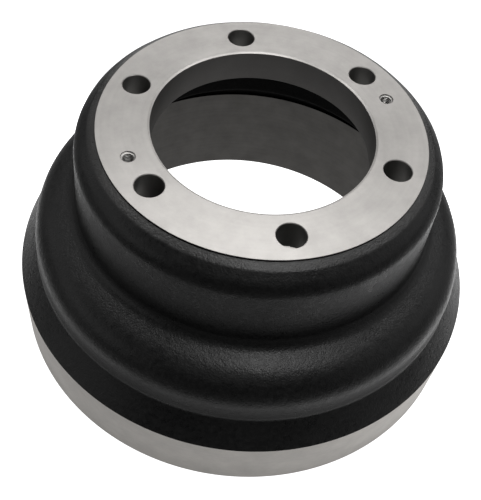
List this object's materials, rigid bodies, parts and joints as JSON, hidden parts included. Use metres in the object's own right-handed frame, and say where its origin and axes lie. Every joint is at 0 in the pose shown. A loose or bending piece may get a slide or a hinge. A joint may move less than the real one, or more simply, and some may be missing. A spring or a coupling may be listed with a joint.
{
  "type": "brake drum",
  "caption": "Cast iron brake drum: stepped bell outside, turned mounting face with pilot bore, bolt holes and tapped puller holes, open end with the surface the shoes rub.",
  "frame": {"origin": "centre of the open end, on the drum's axis", "axes": "+Z along the axis from the open end to the mounting face; one bolt hole lies over +Y and one over -Y"},
  "size_m": [0.3799, 0.38, 0.193],
  "materials": {
    "cast_iron": "black paint over the rough cast skin; mounting face, rim band, bores and friction surface bare turned iron"
  },
  "bodies": {
    "root": {"brake_drum": "cast_iron"}
  },
  "joints": []
}
